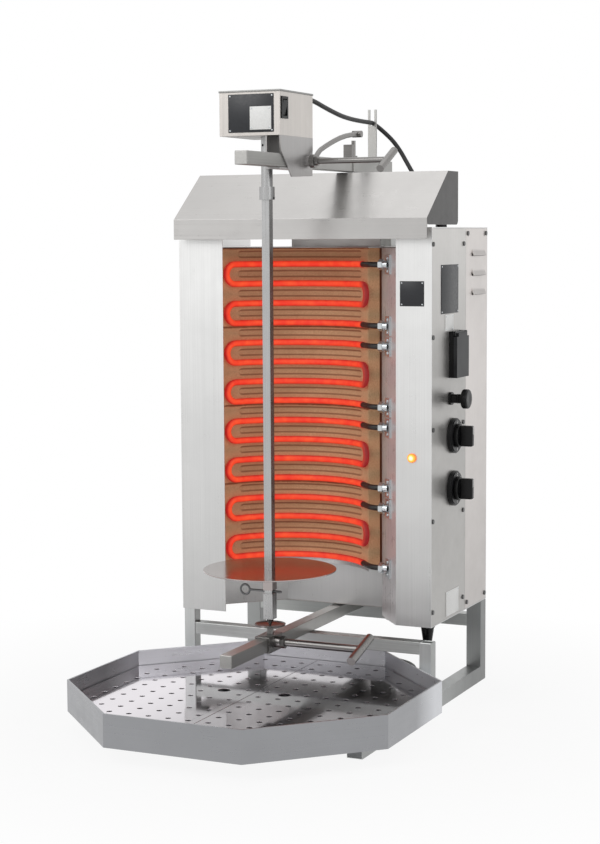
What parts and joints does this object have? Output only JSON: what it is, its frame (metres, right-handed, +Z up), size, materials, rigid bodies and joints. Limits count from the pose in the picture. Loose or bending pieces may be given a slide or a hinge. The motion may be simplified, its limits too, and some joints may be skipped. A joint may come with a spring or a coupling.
{
  "type": "electric skewer grill",
  "caption": "Upright electric skewer grill: a motor-driven spit turns in front of a curved brick wall with glowing heating elements, above an eight-sided drip tray.",
  "frame": {"origin": "middle of the plan outline, on the floor the bottom tubes stand on", "axes": "+X to the right towards the control box, +Y to the back, +Z up"},
  "size_m": [0.5456, 0.7324, 0.993],
  "materials": {
    "frame_tube": "ground stainless square tube, satin",
    "plug_plastic": "black moulded end plug",
    "sleeve_steel": "folded stainless sheet, satin",
    "lock_steel": "machined steel, dull",
    "casing_steel": "brushed stainless sheet, reflecting the glow",
    "brick": "fired refractory brick, matt tan and brown",
    "element": "sheathed heating tube, glowing red",
    "cold_end": "oxidised steel sheath, dark grey",
    "gland_zinc": "zinc plated nut and flange",
    "hood_steel": "brushed stainless sheet",
    "box_steel": "fine brushed stainless sheet",
    "screw": "pan head steel screw",
    "black_plastic": "black moulded plastic, slight sheen",
    "dial_plate": "silvery dial face, satin",
    "button_body": "dark grey plastic",
    "socket_grey": "grey moulded plastic, matt",
    "lamp_lens": "amber lens, lit",
    "terminal_ceramic": "glazed steatite",
    "plate": "bare plate, satin",
    "gland_black": "black nylon",
    "lead_rubber": "black rubber sheath",
    "plug_body": "black rubber plug body",
    "motor_steel": "brushed stainless sheet",
    "lid_steel": "brushed stainless lid",
    "gearbox": "cast housing, dark grey",
    "rocker_red": "black rocker",
    "clamp_steel": "turned steel rod, satin",
    "spit_steel": "ground stainless bar",
    "disc_steel": "polished stainless disc",
    "pin_black": "blackened wire",
    "bearing_steel": "stainless carriage and dish",
    "tray_steel": "bright stainless sheet"
  },
  "bodies": {
    "root": {"left_side_frame": "frame_tube", "right_side_frame": "frame_tube", "crossbars": "frame_tube", "tube_plugs": "plug_plastic", "lower_arm": "frame_tube", "rear_column": "frame_tube", "upper_arm": "frame_tube", "arm_sleeve": "sleeve_steel", "arm_lock": "lock_steel", "left_casing": "casing_steel", "rear_casing": "casing_steel", "burner_shell": "casing_steel", "apron": "casing_steel", "top_cover": "casing_steel", "burner_bricks": "brick", "heating_elements": "element", "cold_ends": "cold_end", "terminal_glands": "gland_zinc", "right_reflector": "casing_steel", "hood": "hood_steel", "hood_bracket": "hood_steel", "control_box": "box_steel", "side_panel": "box_steel", "rear_cover": "box_steel", "panel_screws": "screw", "switch_bodies": "black_plastic", "switch_dials": "dial_plate", "push_button_body": "button_body", "socket_outlet": "socket_grey", "pilot_lamp": "lamp_lens", "contactor": "black_plastic", "terminal_block": "terminal_ceramic", "info_plates": "plate", "cable_glands": "gland_black", "mains_cord": "lead_rubber", "mains_coil": "lead_rubber", "mains_plug": "plug_body", "motor_cable": "lead_rubber"},
    "motor_unit": {"motor_case": "motor_steel", "motor_lid": "lid_steel", "motor_plate": "motor_steel", "motor_bracket": "motor_steel", "gear_motor": "gearbox", "motor_switch": "black_plastic"},
    "rocker": {"motor_rocker": "rocker_red"},
    "upper_screw": {"upper_clamp": "clamp_steel"},
    "lever": {"release_lever": "clamp_steel"},
    "spit": {"drive_socket": "spit_steel", "spit_bar": "spit_steel"},
    "disc": {"meat_disc": "disc_steel"},
    "pin": {"disc_pin": "pin_black"},
    "lower_carriage": {"bearing_carriage": "bearing_steel"},
    "lower_screw": {"lower_clamp": "clamp_steel"},
    "tray": {"drip_tray": "tray_steel"},
    "insert_left": {"tray_insert_left": "tray_steel"},
    "insert_right": {"tray_insert_right": "tray_steel"},
    "knob_high": {"switch_knob_high": "black_plastic"},
    "knob_low": {"switch_knob_low": "black_plastic"},
    "push_button": {"push_knob": "black_plastic"},
    "socket_cover": {"socket_lid": "socket_grey"}
  },
  "joints": [
    {"name": "motor_slide", "type": "slide", "parent": "root", "child": "motor_unit", "axis": [0, -1, 0], "range_m": [-0.05, 0.055], "deforming": ["motor_cable"]},
    {"name": "carriage_slide", "type": "slide", "parent": "root", "child": "lower_carriage", "axis": [0, -1, 0], "range_m": [-0.05, 0.055]},
    {"name": "spit_spin", "type": "hinge", "parent": "motor_unit", "child": "spit", "pos_m": [0, -0.03265, 0.5], "axis": [0, 0, 1], "continuous": true},
    {"name": "disc_lift", "type": "slide", "parent": "spit", "child": "disc", "axis": [0, 0, 1], "range_m": [0, 0.35]},
    {"name": "pin_pull", "type": "slide", "parent": "spit", "child": "pin", "axis": [-1, 0, 0], "range_m": [0, 0.06]},
    {"name": "upper_screw_turn", "type": "hinge", "parent": "motor_unit", "child": "upper_screw", "pos_m": [0.1, 0.00965, 0.88775], "axis": [1, 0, 0], "range_deg": [0, 360]},
    {"name": "lower_screw_turn", "type": "hinge", "parent": "lower_carriage", "child": "lower_screw", "pos_m": [0.1, -0.04115, 0.12975], "axis": [1, 0, 0], "range_deg": [0, 360]},
    {"name": "lever_lift", "type": "hinge", "parent": "motor_unit", "child": "lever", "pos_m": [0.0595, 0.00965, 0.88775], "axis": [1, 0, 0], "range_deg": [0, 75]},
    {"name": "rocker_tilt", "type": "hinge", "parent": "motor_unit", "child": "rocker", "pos_m": [0.05, -0.07835, 0.966], "axis": [0, -1, 0], "range_deg": [0, 14]},
    {"name": "tray_slide", "type": "slide", "parent": "root", "child": "tray", "axis": [0, -1, 0], "range_m": [0, 0.37]},
    {"name": "insert_left_lift", "type": "slide", "parent": "tray", "child": "insert_left", "axis": [0, 0, 1], "range_m": [0, 0.035]},
    {"name": "insert_right_lift", "type": "slide", "parent": "tray", "child": "insert_right", "axis": [0, 0, 1], "range_m": [0, 0.035]},
    {"name": "knob_high_turn", "type": "hinge", "parent": "root", "child": "knob_high", "pos_m": [0.245, 0.19685, 0.444], "axis": [1, 0, 0], "range_deg": [0, 270]},
    {"name": "knob_low_turn", "type": "hinge", "parent": "root", "child": "knob_low", "pos_m": [0.245, 0.19685, 0.357], "axis": [1, 0, 0], "range_deg": [0, 270]},
    {"name": "push_button_press", "type": "slide", "parent": "root", "child": "push_button", "axis": [-1, 0, 0], "range_m": [0, 0.006], "stiffness_N_per_m": 600},
    {"name": "socket_cover_lift", "type": "hinge", "parent": "root", "child": "socket_cover", "pos_m": [0.233, 0.20635, 0.6126], "axis": [0, -1, 0], "range_deg": [0, 120]}
  ],
  "couplings": [
    {"joint": "carriage_slide", "follows": "motor_slide", "ratio": 1}
  ]
}
